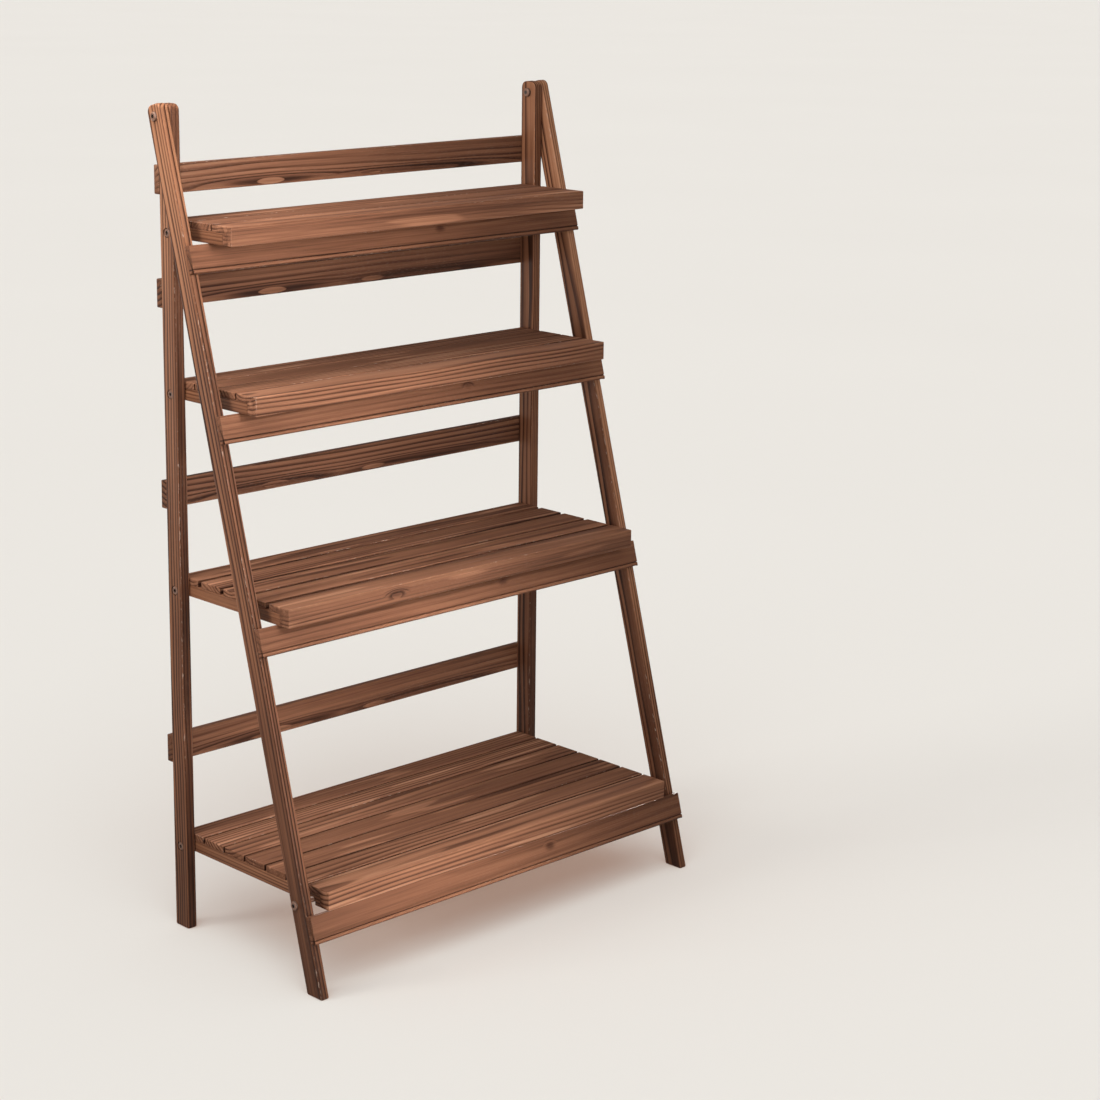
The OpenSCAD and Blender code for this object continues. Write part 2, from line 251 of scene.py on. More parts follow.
def drill(solid, x_low, x_high, y, z, radius, sides=40):
    """Bores a hole across the stand through a solid."""
    ring = [(y + radius * math.cos(i * math.tau / sides),
             z + radius * math.sin(i * math.tau / sides)) for i in range(sides)]
    tool = outline_prism("drill", ring, x_low, x_high)
    cut = solid.modifiers.new("cut", "BOOLEAN")
    cut.operation, cut.solver, cut.object = "DIFFERENCE", "EXACT", tool
    return tool


EASED_EDGE = math.radians(40.0)


def ease(solid, width, segments=3):
    """Rounds the edges as sandpaper does."""
    soft = solid.modifiers.new("ease", "BEVEL")
    soft.width, soft.segments, soft.limit_method = width, segments, "ANGLE"
    soft.angle_limit = EASED_EDGE


def set_attribute(mesh, name, vector):
    """Stores one vector on every point of a mesh."""
    store = mesh.attributes.new(name, "FLOAT_VECTOR", "POINT")
    store.data.foreach_set("vector", list(vector) * len(mesh.vertices))


SHARP_EDGE = math.radians(38.0)


def finished(name, solid, body, nodes, tools=(), cut=None):
    """Makes a plain mesh piece from a solid and its modifiers, and hangs it on its body.
    The cut is the piece's middle and where in its tree it was sawn, for the wood's figure."""
    def baked(source):
        graph = bpy.context.evaluated_depsgraph_get()
        return bpy.data.meshes.new_from_object(source.evaluated_get(graph), depsgraph=graph,
                                               preserve_all_data_layers=True)

    mesh = baked(solid)
    mesh.shade_smooth()
    mesh.set_sharp_from_angle(angle=SHARP_EDGE)
    solid.modifiers.clear()
    solid.data = mesh
    solid.modifiers.new("flat faces stay flat", "WEIGHTED_NORMAL").keep_sharp = True
    final = baked(solid)
    final.name = name
    if cut:
        for attribute, vector in zip(("middle", "heart"), cut):
            set_attribute(final, attribute, vector)
    for spent in (solid, *tools):
        bpy.data.objects.remove(spent)
    piece = bpy.data.objects.new(name, final)
    bpy.context.scene.collection.objects.link(piece)
    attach(piece, body)
    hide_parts(*nodes)


STAIN_STOPS = (0.05, 0.30, 0.50, 0.72, 0.98)
KNOT_PALER, KNOT_DARKER, MEAN_LATE_WOOD, RING_WOBBLE = 0.34, 0.28, 0.36, 1.1
PALE_KNOT_BULGE, DARK_KNOT_BULGE, PITH_WANDER = 0.004, 0.007, 0.020
BOARD_SPREAD, BOARD_TONE_STEP, EDGE_PALER, END_DARKER = 0.10, 7.31, 0.09, 0.05
# The pale specks' colour and shares stand partly for wear, partly for painted glints.
WEAR_AND_GLINT_COLOUR, WEAR_AND_GLINTS_AT_EDGES, WEAR_AND_GLINTS_ELSEWHERE = (0.50, 0.38, 0.30, 1.0), 0.55, 0.04
GRAIN_BUMP, GRAIN_RELIEF, WOOD_GLOSS = 0.35, 0.0005, 0.12


def stained_wood(name, grain, stain, ring_mm, rings, bands, fibres=0.25, tone=0.25,
                 sheen=0.55, light_knots=(), dark_knots=(), depth=1.0, streaks=0.0,
                 lines=(), eddy=0.0, painted_side_shade=0.0, painted_top_light_and_dark_foot=0.0):
    """Brown-stained pine. grain turns the piece's own length onto X, stain is the colours
    from dark to light, and depth multiplies them. ring_mm is the width of a year's ring.
    rings, bands, fibres, tone and streaks say how strongly each kind of figure shows.
    Knots are (along, y, z, half length, half width) in metres, and eddy is how far the
    rings show more round them. Lines are (z, half width, strength) for bands along a
    moulding: a negative strength paints shade there, partly as stain pooled in a groove,
    and a positive one paints a highlight. The argument for the narrow sides paints shade
    on them, and light where it is negative. The argument for the ends of an upright
    paints a highlight on its upper end and darkens its lower end."""
    wood, pen = new_material(name)
    where = pen.node("ShaderNodeTexCoord", {}, {}, "Object")
    middle = pen.node("ShaderNodeAttribute", {"attribute_name": "middle"}, {}, "Vector")
    heart = pen.node("ShaderNodeAttribute", {"attribute_name": "heart"}, {}, "Vector")
    local = pen.node("ShaderNodeVectorMath", {"operation": "SUBTRACT"}, {0: where, 1: middle})
    local = pen.node("ShaderNodeMapping", {}, {"Vector": local, "Rotation": grain})
    log = pen.node("ShaderNodeVectorMath", {"operation": "ADD"}, {0: local, 1: heart})

    def noise(along, across, detail=2.0, rough=0.5, out="Fac"):
        """Noise with so many spots to a metre along the grain and across it."""
        stretched = pen.node("ShaderNodeMapping", {},
                             {"Vector": log, "Scale": (along, across, across)})
        return pen.node("ShaderNodeTexNoise", {},
                        {"Vector": stretched, "Scale": 1.0, "Detail": detail,
                         "Roughness": rough}, out)

    def knot_field(knots, inner, outer):
        """How far each point lies in a knot. Knots bend the rings and colour the wood."""
        total = None
        for along, y, z, half_long, half_wide in knots:
            near = pen.node("ShaderNodeMapping", {"vector_type": "TEXTURE"},
                            {"Vector": local, "Location": (along, y, z),
                             "Scale": (half_long, half_wide, half_wide)})
            reach = pen.node("ShaderNodeVectorMath", {"operation": "LENGTH"}, {0: near}, 1)
            spot = reach.rise(inner, outer, 1.0, 0.0)
            total = spot if total is None else pen.maths("MAXIMUM", total, spot)
        return total

    pale, dusky = knot_field(light_knots, 0.75, 1.15), knot_field(dark_knots, 0.3, 1.5)

    # The tree's rings: cones round a pith outside the board, wandering along its length.
    wander = pen.node("ShaderNodeSeparateXYZ", {}, {0: noise(1.7, 16.0, 2.0, 0.5, "Color")}, 0)
    wander_y = Wire(pen.tree, wander.socket.node.outputs[1])
    spread = pen.node("ShaderNodeSeparateXYZ", {}, {0: log}, 1)
    spread_z = Wire(pen.tree, spread.socket.node.outputs[2])
    across = spread + PITH_WANDER * (wander - 0.5)
    deep = spread_z + PITH_WANDER * (wander_y - 0.5)
    radius = pen.maths("SQRT", across * across + deep * deep)
    for field, bulge in ((pale, PALE_KNOT_BULGE), (dusky, DARK_KNOT_BULGE)):
        if field is not None:
            radius = radius + bulge * field
    turns = radius / (ring_mm / 1000.0) + RING_WOBBLE * noise(0.8, 30.0, 1.0)
    season = pen.maths("FRACT", turns)
    late = season.rise(0.30, 0.88) * season.rise(0.92, 1.0, 1.0, 0.0)
    clear = noise(1.3, 22.0, 1.0).rise(0.36, 0.60, 0.25, 1.5)
    if eddy:
        clear = clear + eddy * dusky

    band = noise(0.9, 60.0, 3.0, 0.55)
    thread = noise(9.0, 700.0, 2.0, 0.6)
    patch = noise(3.0, 9.0, 2.0, 0.5)
    shade = (0.5 + bands * (band - 0.5) * 2.0 - rings * clear * (late - MEAN_LATE_WOOD) * 2.0
             + fibres * (thread - 0.5) * 2.0 + tone * (patch - 0.5) * 2.0)
    board = pen.node("ShaderNodeSeparateXYZ", {}, {0: heart}, 0)
    shade = shade + BOARD_SPREAD * (pen.maths("FRACT", board * BOARD_TONE_STEP) - 0.5)
    if pale is not None:
        shade = shade + KNOT_PALER * pale
    if dusky is not None:
        shade = shade - KNOT_DARKER * dusky

    if streaks:
        shade = shade + streaks * noise(7.0, 95.0, 0.0).rise(0.66, 0.73)
    high = pen.node("ShaderNodeSeparateXYZ", {}, {0: local}, 2)
    # Bands along a moulding: painted shade where negative, partly stain pooled in a groove, and
    # a painted highlight where positive.
    for centre, half, strength in lines:
        off = pen.maths("ABSOLUTE", high - centre)
        shade = shade + strength * off.rise(0.5 * half, half, 1.0, 0.0)

    # Worn edges are a little lighter, and end grain drinks more stain.
    facing = pen.node("ShaderNodeTexCoord", {}, {}, "Normal")
    facing = pen.node("ShaderNodeMapping", {"vector_type": "NORMAL"},
                      {"Vector": facing, "Rotation": grain})
    facing = pen.node("ShaderNodeVectorMath", {"operation": "ABSOLUTE"}, {0: facing})
    face_x = pen.node("ShaderNodeSeparateXYZ", {}, {0: facing}, 0)
    face_y, face_z = (Wire(pen.tree, face_x.socket.node.outputs[i]) for i in (1, 2))
    flat = pen.maths("MAXIMUM", face_x, pen.maths("MAXIMUM", face_y, face_z))
    edge = flat.rise(0.80, 0.99, 1.0, 0.0)
    end = face_x.rise(0.6, 0.9)
    shade = shade + EDGE_PALER * edge * noise(30.0, 60.0, 3.0, 0.7) - END_DARKER * end
    # Painted light on uprights: a painted highlight pales the top, and the wood darkens towards
    # the foot.
    if painted_top_light_and_dark_foot:
        above_floor = Wire(pen.tree, pen.node("ShaderNodeSeparateXYZ", {}, {0: where})
                           .socket.node.outputs[2])
        shade = shade + painted_top_light_and_dark_foot * (0.8 * above_floor.rise(0.6, 0.95) -
                                above_floor.rise(0.0, 0.5, 1.0, 0.0))
    # Painted shade on the narrow sides; a negative strength paints light on them instead.
    if painted_side_shade:
        shade = shade - painted_side_shade * face_y.rise(0.5, 0.9)

    stops = [(place, tuple(depth * part for part in tint))
             for place, tint in zip(STAIN_STOPS, stain)]
    colour = pen.node("ShaderNodeValToRGB", {"stops": stops}, {"Fac": shade}, "Color")
    # Pale specks, most of them on the eased edges: partly wear, partly painted glints of
    # highlight.
    specks = noise(160.0, 1100.0, 1.0).rise(0.57, 0.66)
    wear_and_glints = specks * (WEAR_AND_GLINTS_AT_EDGES * edge + WEAR_AND_GLINTS_ELSEWHERE)
    colour = blended(pen, wear_and_glints * noise(5.0, 25.0, 1.0).rise(0.42, 0.62), colour, WEAR_AND_GLINT_COLOUR)
    height = 0.6 * thread + 0.8 * late + 0.08 * noise(300.0, 900.0, 2.0)
    bump = pen.node("ShaderNodeBump", {}, {"Height": height, "Strength": GRAIN_BUMP,
                                           "Distance": GRAIN_RELIEF}, "Normal")
    rough = sheen + 0.22 * (thread - 0.5) - 0.06 * late + 0.05 * edge + 0.15 * end
    surface(pen, {"Base Color": colour, "Roughness": rough, "Normal": bump,
                  "Specular IOR Level": WOOD_GLOSS})
    return wood


GOLDEN_TURN, GOLDEN_SHARE, SAWN_APART = 2.39996, 0.618034, 1.37
PITH_NEAR, PITH_SPREAD = 0.030, 0.045


def heart_of(number):
    """Where in its tree piece number so-and-so was cut: along, and two offsets to the pith."""
    turn = number * GOLDEN_TURN
    reach = PITH_NEAR + PITH_SPREAD * ((number * GOLDEN_SHARE) % 1.0)
    return (SAWN_APART * number, reach * math.cos(turn), reach * math.sin(turn))


TOP_CORNER, UPRIGHT_EASE = 0.008, 0.0022
RECESS_RADIUS, RECESS_DEPTH, SHANK_HOLE = 0.00565, 0.0032, 0.00305
POST_CUTS = {"left": 20, "right": 11}
post_low, post_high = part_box("rear_post_right")
POST_FACE_IN, POST_FACE_OUT = post_low.x, post_high.x
post_mid_y = (post_low.y + post_high.y) / 2
hinge = {joint["name"]: Vector(joint["pos_m"]) for joint in frame["joints"]}
top_bolt = hinge["front_frame_fold"]
shelf_bolts = [hinge[f"shelf_{k}_lift"] for k in (1, 2, 3, 4)]
UPRIGHT_STAIN = ((0.0291, 0.0102, 0.0051), (0.0884, 0.033, 0.0161), (0.166, 0.0669, 0.0331),
                 (0.255, 0.109, 0.0544), (0.385, 0.184, 0.0978))
# The posts' wood paints shade on their narrow front and back faces, a highlight on their tops,
# and darkens them towards the feet.
post_wood = stained_wood("post_wood", (0.0, math.radians(90.0), 0.0), UPRIGHT_STAIN,
                         ring_mm=3.1, rings=0.20, bands=0.42, depth=1.02,
                         painted_side_shade=0.13, painted_top_light_and_dark_foot=0.16)


def rounded_top(half, top, corner, steps=7):
    """Points over a rounded top, from the front side to the rear side."""
    arc = [(-half + corner - corner * math.cos(i * math.pi / 2 / steps),
            top - corner + corner * math.sin(i * math.pi / 2 / steps))
           for i in range(steps + 1)]
    return arc + [(-y, z) for y, z in reversed(arc)]


half_depth = (post_high.y - post_low.y) / 2
post_outline = [(post_mid_y + y, z)
                for y, z in rounded_top(half_depth, post_high.z, TOP_CORNER)]
post_outline = [(post_low.y, 0.0)] + post_outline + [(post_high.y, 0.0)]
DRILL_START, DRILL_END, IN_RECESS = 0.27, 0.29, 0.286
SIDES = (("left", -1.0), ("right", 1.0))


def on_side(turn, inner, outer):
    """Two distances from the stand's middle as places on one side, low then high."""
    return sorted((turn * inner, turn * outer))


for side_name, turn in SIDES:
    post = outline_prism("post", post_outline, *on_side(turn, POST_FACE_IN, POST_FACE_OUT))
    ease(post, UPRIGHT_EASE)
    tools = [drill(post, *on_side(turn, DRILL_START, DRILL_END), top_bolt.y, top_bolt.z,
                   SHANK_HOLE)]
    for bolt in shelf_bolts:
        tools.append(drill(post, *on_side(turn, DRILL_START, IN_RECESS), bolt.y, bolt.z,
                           SHANK_HOLE))
        tools.append(drill(post, *on_side(turn, POST_FACE_OUT - RECESS_DEPTH, DRILL_END),
                           bolt.y, bolt.z, RECESS_RADIUS))
    middle = (turn * (POST_FACE_IN + POST_FACE_OUT) / 2, post_mid_y, post_high.z / 2)
    post.data.materials.append(post_wood)
    finished(f"post_{side_name}", post, "rear_frame",
             [f"rear_post_{side_name}"], tools, (middle, heart_of(POST_CUTS[side_name])))


# ---------------------------------------------------------------- rear rails
# Four flat 9 x 33 mm rails of the same softwood across the backs of the posts, sawn
# from one batch and fixed from behind, with a pale pair of knots low in each.
def set_inputs(solid, tree, values):
    """Adds a tree to an object and sets its inputs by their sockets' identifiers."""
    made = solid.modifiers.new(tree.name, "NODES")
    made.node_group = tree
    for item in tree.interface.items_tree:
        if item.in_out == "INPUT" and item.name in values:
            made[item.identifier] = values[item.name]


def tree_with(name, inputs):
    """A geometry tree that takes places to fill and the named inputs."""
    tree = bpy.data.node_groups.new(name, "GeometryNodeTree")
    tree.is_modifier = True
    tree.interface.new_socket("Places", in_out="INPUT", socket_type="NodeSocketGeometry")
    for label, kind in inputs.items():
        tree.interface.new_socket(label, in_out="INPUT", socket_type="NodeSocket" + kind)
    tree.interface.new_socket("Made", in_out="OUTPUT", socket_type="NodeSocketGeometry")
    pen = Wire(tree)
    ports = tree.nodes.new("NodeGroupInput").outputs
    return tree, pen, {port.name: Wire(tree, port) for port in ports if port.name}


def close_tree(pen, shapes, wood):
    """Ends a tree with real geometry in its material."""
    real = pen.node("GeometryNodeRealizeInstances", {}, {"Geometry": shapes})
    dressed = pen.node("GeometryNodeSetMaterial", {}, {"Geometry": real, "Material": wood})
    pen.node("NodeGroupOutput", {}, {"Made": dressed})


FARTHEST_CUT, NEAREST_CUT = (-9.0, -0.05, -0.06), (9.0, 0.05, -0.02)


def with_cut(pen, places, seed):
    """Stores on each place its board's middle and where in the tree it was cut."""
    here = pen.node("GeometryNodeInputPosition", {}, {})
    marked = pen.node("GeometryNodeStoreNamedAttribute",
                      {"data_type": "FLOAT_VECTOR", "domain": "POINT"},
                      {"Geometry": places, "Name": "middle", "Value": here})
    any_cut = pen.node("FunctionNodeRandomValue", {"data_type": "FLOAT_VECTOR"},
                       {0: FARTHEST_CUT, 1: NEAREST_CUT, "Seed": seed})
    return pen.node("GeometryNodeStoreNamedAttribute",
                    {"data_type": "FLOAT_VECTOR", "domain": "POINT"},
                    {"Geometry": marked, "Name": "heart", "Value": any_cut})


boards, pen, port = tree_with("row_of_boards", {"Length": "Float", "Width": "Float",
                                                "Thickness": "Float", "Seed": "Int",
                                                "Wood": "Material"})
size = pen.node("ShaderNodeCombineXYZ", {}, {0: port["Length"], 1: port["Width"],
                                             2: port["Thickness"]})
board = pen.node("GeometryNodeMeshCube", {}, {"Size": size})
row = pen.node("GeometryNodeInstanceOnPoints", {},
               {"Points": with_cut(pen, port["Places"], port["Seed"]), "Instance": board})
close_tree(pen, row, port["Wood"])


def places_at(name, points):
    """An object whose points are the places that a tree fills."""
    mesh = bpy.data.meshes.new(name)
    mesh.from_pydata([tuple(p) for p in points], [], [])
    made = bpy.data.objects.new(name, mesh)
    bpy.context.scene.collection.objects.link(made)
    return made


def middle_of(node):
    """The middle of a node's box."""
    low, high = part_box(node)
    return (low + high) / 2


RAIL_STAIN = ((0.0312, 0.0115, 0.00607), (0.0915, 0.0359, 0.0187), (0.172, 0.071, 0.0374),
              (0.255, 0.112, 0.0598), (0.395, 0.2, 0.117))
RAIL_EASE, REAR_RAIL_SEED = 0.0012, 3
rear_rail_wood = stained_wood(
    "rear_rail_wood", (0.0, 0.0, 0.0), RAIL_STAIN, ring_mm=6.5, rings=0.16, bands=0.34,
    depth=0.73,
    light_knots=((-0.128, -0.0045, -0.0115, 0.020, 0.0042),
                 (0.026, -0.0045, -0.012, 0.018, 0.0028)),
    dark_knots=((-0.13, -0.0045, -0.0095, 0.11, 0.0060),
                (0.11, -0.0045, -0.0105, 0.14, 0.0055)))
rear_rails = [f"rear_rail_{k}" for k in (1, 2, 3, 4)]
low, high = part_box("rear_rail_1")
row = places_at("rails", [middle_of(node) for node in rear_rails])
set_inputs(row, boards, {"Length": high.x - low.x, "Width": high.y - low.y,
                         "Thickness": high.z - low.z, "Seed": REAR_RAIL_SEED,
                         "Wood": rear_rail_wood})
ease(row, RAIL_EASE)
finished("rear_rails", row, "rear_frame", rear_rails)


# ---------------------------------------------------------------- front legs
# Two leaning legs of 12 x 25 mm, hung outside the posts on the top bolts, with
# rounded tops and feet cut level with the floor.
LEAN = math.radians(15.3)
LEG_CUTS = {"left": 7, "right": 44}
LEG_DRILL_START, LEG_DRILL_END, CATCH_HOLE = 0.28, 0.31, 0.00255
leg_low, leg_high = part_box("front_leg_right")
# The two legs' woods differ only in painted light: the left leg's narrow faces get a little
# painted shade, the right leg's are painted lighter. Both get a painted highlight at the top
# and darken towards the feet.
leg_woods = {side_name: stained_wood(f"{side_name}_leg_wood", (LEAN, math.radians(90.0), 0.0),
                                     UPRIGHT_STAIN, ring_mm=3.8, rings=0.21, bands=0.42,
                                     depth=1.05, painted_side_shade=painted_side_shade, painted_top_light_and_dark_foot=0.14)
             for side_name, painted_side_shade in (("left", 0.05), ("right", -0.20))}


def leaned(y, z):
    """A point drawn round the top bolt, turned into the leaning front frame."""
    return (top_bolt.y + y * math.cos(LEAN) + z * math.sin(LEAN),
            top_bolt.z - y * math.sin(LEAN) + z * math.cos(LEAN))


above_bolt = post_high.z - top_bolt.z
leg_outline = [leaned(y, z) for y, z in rounded_top(half_depth, above_bolt, TOP_CORNER)]
for y in (-half_depth, half_depth):
    down = (top_bolt.z - y * math.sin(LEAN)) / math.cos(LEAN)
    foot = leaned(y, -down)
    leg_outline = [foot] + leg_outline if y < 0 else leg_outline + [foot]
_, catch_y, catch_z = middle_of("catch_bolts")
for side_name, turn in SIDES:
    leg = outline_prism("leg", leg_outline, *on_side(turn, leg_low.x, leg_high.x))
    ease(leg, UPRIGHT_EASE)
    tools = [drill(leg, *on_side(turn, LEG_DRILL_START, LEG_DRILL_END), y, z, radius)
             for y, z, radius in ((top_bolt.y, top_bolt.z, SHANK_HOLE),
                                  (catch_y, catch_z, CATCH_HOLE))]
    middle = (turn * (leg_low.x + leg_high.x) / 2, *leaned(0.0, -top_bolt.z / 2))
    leg.data.materials.append(leg_woods[side_name])
    finished(f"leg_{side_name}", leg, "front_frame",
             [f"front_leg_{side_name}"], tools, (middle, heart_of(LEG_CUTS[side_name])))


# ---------------------------------------------------------------- front rails
# Four 8 x 32 mm rails glued across the fronts of the legs. Each leans with the
# frame and has a bead run along its lower edge. The shelves rest on the upper edge.
RAIL_HIGH, RAIL_THICK = 0.032, 0.008
BEAD_UP, BEAD_GROOVE, BEAD_DEPTH = 0.0044, 0.0012, 0.0012
GROOVE_SLOPE, BEAD_FLATNESS, BEAD_STEP = 0.7, 0.45, 20
FRONT_RAIL_EASE, FRONT_RAIL_SEED = 0.0007, 39
# The lines paint shade in the bead's groove and at the bead's lower edge, partly as pooled
# stain, and a highlight on the bead.
front_rail_wood = stained_wood(
    "front_rail_wood", (LEAN, 0.0, 0.0), RAIL_STAIN, ring_mm=7.0, rings=0.05, bands=0.14,
    tone=0.22, fibres=0.22, depth=1.08,
    lines=((-0.0110, 0.0011, -0.30), (-0.0134, 0.0016, 0.10), (-0.0156, 0.0010, -0.22)),
    dark_knots=((0.07, 0.0, 0.006, 0.010, 0.006), (-0.16, 0.0, 0.002, 0.012, 0.003)))
copies, pen, port = tree_with("set_of_copies", {"Pattern": "Object", "Lean": "Float",
                                                "Seed": "Int", "Finish": "Material"})
shape = pen.node("GeometryNodeObjectInfo", {}, {"Object": port["Pattern"]}, "Geometry")
turned = pen.node("ShaderNodeCombineXYZ", {}, {0: 0.0 - port["Lean"]})
row = pen.node("GeometryNodeInstanceOnPoints", {},
               {"Points": with_cut(pen, port["Places"], port["Seed"]), "Instance": shape,
                "Rotation": turned})
close_tree(pen, row, port["Finish"])
bead = [(BEAD_UP / 2 * (1 - math.cos(a)), BEAD_UP / 2 * (1 - math.sin(a)))
        for a in (math.radians(t) for t in range(-80, 81, BEAD_STEP))]
front_face = ([(0.0, RAIL_HIGH), (0.0, BEAD_UP + BEAD_GROOVE),
               (BEAD_DEPTH, BEAD_UP + BEAD_GROOVE * GROOVE_SLOPE), (BEAD_DEPTH, BEAD_UP)]
              + [(y * BEAD_FLATNESS, BEAD_UP - z) for y, z in bead])
profile = [(y - RAIL_THICK / 2, z - RAIL_HIGH / 2)
           for y, z in front_face + [(RAIL_THICK, 0.0), (RAIL_THICK, RAIL_HIGH)]]
low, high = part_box("front_rail_1")
pattern = outline_prism("rail_pattern", profile, low.x, high.x)
front_rails = [f"front_rail_{k}" for k in (1, 2, 3, 4)]
row = places_at("rails", [middle_of(node) for node in front_rails])
set_inputs(row, copies, {"Pattern": pattern, "Lean": LEAN, "Seed": FRONT_RAIL_SEED,
                         "Finish": front_rail_wood})
ease(row, FRONT_RAIL_EASE, 2)
finished("front_rails", row, "front_frame", front_rails, [pattern])


# ---------------------------------------------------------------- shelf bearers
# Two 14 x 14 mm battens under the ends of each shelf, bored for the bolts that the
# shelf turns on. The lowest pair is notched underneath for the catch bolts.
bearer_wood = stained_wood("bearer_wood", (0.0, 0.0, math.radians(-90.0)), UPRIGHT_STAIN,
                           ring_mm=4.0, rings=0.15, bands=0.4, depth=1.03)
NOTCH_REACH, NOTCH_FLAT, RAMP_SLOPE = 0.0028, 0.001, 0.84
BEARER_EASE, DRILL_PAST, BEARER_HEART = 0.0009, 0.002, (0.012, -0.050)
bearer_cut = 20
for k in (1, 2, 3, 4):
    for side_name in ("left", "right"):
        node = f"shelf_{k}_bearer_{side_name}"
        low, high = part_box(node)
        outline = [(low.y, low.z), (low.y, high.z), (high.y, high.z), (high.y, low.z)]
        if k == 4:
            down = catch_z - low.z
            run = (down + NOTCH_REACH) / (RAMP_SLOPE * math.tan(LEAN))
            outline += [(catch_y + NOTCH_FLAT + run, low.z),
                        (catch_y + NOTCH_FLAT, catch_z + NOTCH_REACH),
                        (catch_y - NOTCH_REACH, catch_z + NOTCH_REACH),
                        (catch_y - NOTCH_REACH, low.z)]
        bearer = outline_prism("bearer", outline, low.x, high.x)
        ease(bearer, BEARER_EASE, 2)
        pivot = shelf_bolts[k - 1]
        tools = [drill(bearer, low.x - DRILL_PAST, high.x + DRILL_PAST, pivot.y, pivot.z,
                       SHANK_HOLE)]
        bearer.data.materials.append(bearer_wood)
        finished(f"bearer_{k}_{side_name}", bearer, f"shelf_{k}",
                 [node], tools, ((low + high) / 2, (SAWN_APART * bearer_cut, *BEARER_HEART)))
        bearer_cut += 1


# ---------------------------------------------------------------- slats
# Two to six plain 8 x 35.5 mm slats a shelf, laid across the bearers with narrow
# gaps, then glued and pinned from below.
BOARD_STAIN = ((0.0333, 0.0126, 0.00666), (0.0988, 0.0393, 0.0209), (0.182, 0.0766, 0.0409),
               (0.27, 0.121, 0.0657), (0.416, 0.212, 0.124))
# The slats' narrow sides, seen in the gaps between them, carry painted shade.
slat_wood = stained_wood("slat_wood", (0.0, 0.0, 0.0), BOARD_STAIN, ring_mm=4.8, rings=0.15,
                         bands=0.30, tone=0.16, depth=1.12, sheen=0.8, streaks=0.26,
                         painted_side_shade=0.38)
BOARD_EASE = 0.0011
SLAT_COUNTS_AND_SEEDS = ((1, 2, 211), (2, 3, 76), (3, 4, 128), (4, 6, 180))
for k, count, seed in SLAT_COUNTS_AND_SEEDS:
    slats = [f"shelf_{k}_slat_{i}" for i in range(1, count + 1)]
    low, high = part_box(slats[0])
    row = places_at("slats", [middle_of(node) for node in slats])
    set_inputs(row, boards, {"Length": high.x - low.x, "Width": high.y - low.y,
                             "Thickness": high.z - low.z, "Seed": seed,
                             "Wood": slat_wood})
    ease(row, BOARD_EASE)
    finished(f"slats_{k}", row, f"shelf_{k}", slats)


# ---------------------------------------------------------------- front boards
# The board at the front of each shelf has a lip below it as deep as the bearers,
# and covers their ends. The lip rests on the front rail.
LIP, SLAT_THICK = 0.016, 0.008
FRONT_CUTS = (6.3, 7.5, 12.1, 11.6)
PITH_ASIDE, PITH_BELOW, PITH_LOWER = 0.006, -0.055, -0.004
plain_front, knotty_front = (
    stained_wood(name, (0.0, 0.0, 0.0), BOARD_STAIN, ring_mm=4.6, rings=0.15, bands=0.42,
                 tone=0.20, depth=depth, streaks=0.20, dark_knots=knots, eddy=eddy)
    for name, depth, eddy, knots in (
        ("front_wood", 1.17, 0.0, ()),
        ("knotty_front_wood", 0.95, 0.8, ((-0.115, -0.017, 0.002, 0.016, 0.006),))))
for k in (1, 2, 3, 4):
    node = f"shelf_{k}_front_board"
    low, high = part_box(node)
    under = high.z - SLAT_THICK
    board = outline_prism("board", [(low.y, low.z), (low.y + LIP, low.z), (low.y + LIP, under),
                                    (high.y, under), (high.y, high.z), (low.y, high.z)],
                          low.x, high.x)
    ease(board, BOARD_EASE)
    heart = (FRONT_CUTS[k - 1], PITH_ASIDE * (k - 2.5), PITH_BELOW + PITH_LOWER * k)
    board.data.materials.append(knotty_front if k == 3 else plain_front)
    finished(f"front_board_{k}", board, f"shelf_{k}", [node], (),
             ((low + high) / 2, heart))


# ---------------------------------------------------------------- bolts and nuts
# Button-head bolts with a hexagon socket, in dark bronzed steel: one through each
# leg and post at the top, four flush in each post, and a thinner catch bolt low in
# each leg. Domed cap nuts close the pivot bolts on the inside.
HEAD_RADIUS, HEAD_HIGH, SOCKET_RADIUS, SOCKET_FLOOR = 0.00525, 0.003, 0.0022, 0.0011
BRONZE_TINTS = ((0.30, (0.09, 0.040, 0.024)), (0.55, (0.16, 0.076, 0.046)),
                (0.85, (0.25, 0.13, 0.08)))
# A dark colour paints shade into the hex sockets and a painted shadow ring round the heads'
# rims.
SOCKET_AND_RIM_SHADE, RIM_SHADOW_SHARE = (0.022, 0.012, 0.008, 1.0), 0.6
SOCKET_SHADE_REACH, RIM_SHADOW_REACH = (0.0019, 0.0024), (0.0046, 0.0052)
METAL_SHARE, DULLNESS, BLOTCH_SCALE, PITTING_SCALE = 0.10, 0.42, 420.0, 2600.0
PITTING_BUMP, PITTING_DEPTH = 0.12, 0.0001
bronze, pen = new_material("bronze")
where = pen.node("ShaderNodeTexCoord", {}, {}, "Object")
blotch = pen.node("ShaderNodeTexNoise", {}, {"Vector": where, "Scale": BLOTCH_SCALE,
                                             "Detail": 4.0, "Roughness": 0.6}, "Fac")
pitting = pen.node("ShaderNodeTexNoise", {}, {"Vector": where, "Scale": PITTING_SCALE,
                                              "Detail": 2.0}, "Fac")
rubbed = pen.node("ShaderNodeNewGeometry", {}, {}, "Pointiness").rise(0.50, 0.58)
from_axis = None
